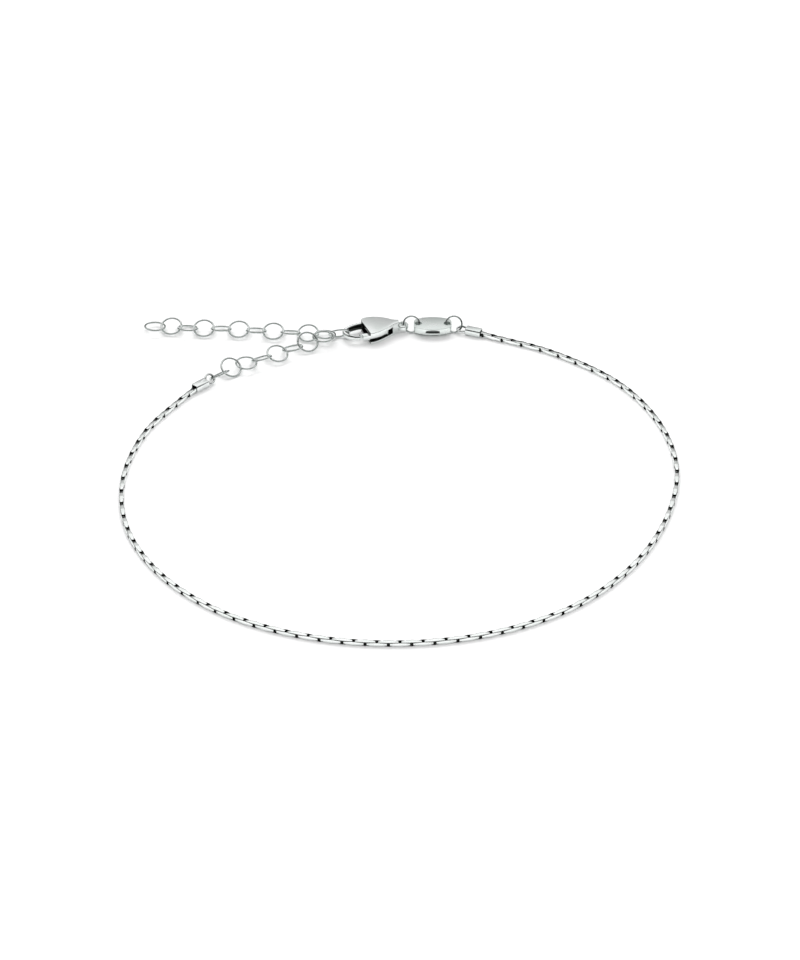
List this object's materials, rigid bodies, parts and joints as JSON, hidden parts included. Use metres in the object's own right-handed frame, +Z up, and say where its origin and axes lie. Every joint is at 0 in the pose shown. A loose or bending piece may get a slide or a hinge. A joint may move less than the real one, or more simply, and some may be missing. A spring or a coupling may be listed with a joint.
{
  "type": "chain anklet",
  "caption": "Fine elongated box chain anklet lying in a loop, closed by a lobster clasp on an extender of round rings, with end caps and a small plain barrel tag.",
  "frame": {"origin": "centre of the bounding box at its base, on the surface that the anklet lies on", "axes": "+Y to the back, where the clasp lies; +X to the right as seen from the front; +Z up"},
  "size_m": [0.0816, 0.0822, 0.0028],
  "materials": {
    "chain": "polished steel strip",
    "ring": "polished wire",
    "clasp": "polished, softened edges",
    "tag": "satin"
  },
  "bodies": {
    "anklet": {"chain_right": "chain", "chain_left": "chain", "end_cap_right": "clasp", "end_cap_left": "clasp", "ring_01": "ring", "ring_02": "ring", "ring_03": "ring", "ring_04": "ring", "ring_05": "ring", "ring_06": "ring", "ring_07": "ring", "ring_08": "ring", "ring_09": "ring", "ring_10": "ring", "ring_11": "ring", "ring_12": "ring", "ring_13": "ring", "ring_14": "ring", "ring_15": "ring", "ring_16": "ring", "ring_17": "ring", "ring_18": "ring", "ring_19": "ring", "ring_20": "ring", "jump_ring_left": "ring", "jump_ring_right": "ring", "tag": "tag", "clasp_body": "clasp"},
    "lever": {"clasp_lever": "clasp"}
  },
  "joints": [
    {"name": "lever_hinge", "type": "hinge", "parent": "anklet", "child": "lever", "pos_m": [-0.00234, 0.03818, 0.00098], "axis": [0, 0, 1], "range_deg": [-18, 0], "stiffness_Nm_per_rad": 0.001, "springref_deg": 11.46}
  ]
}
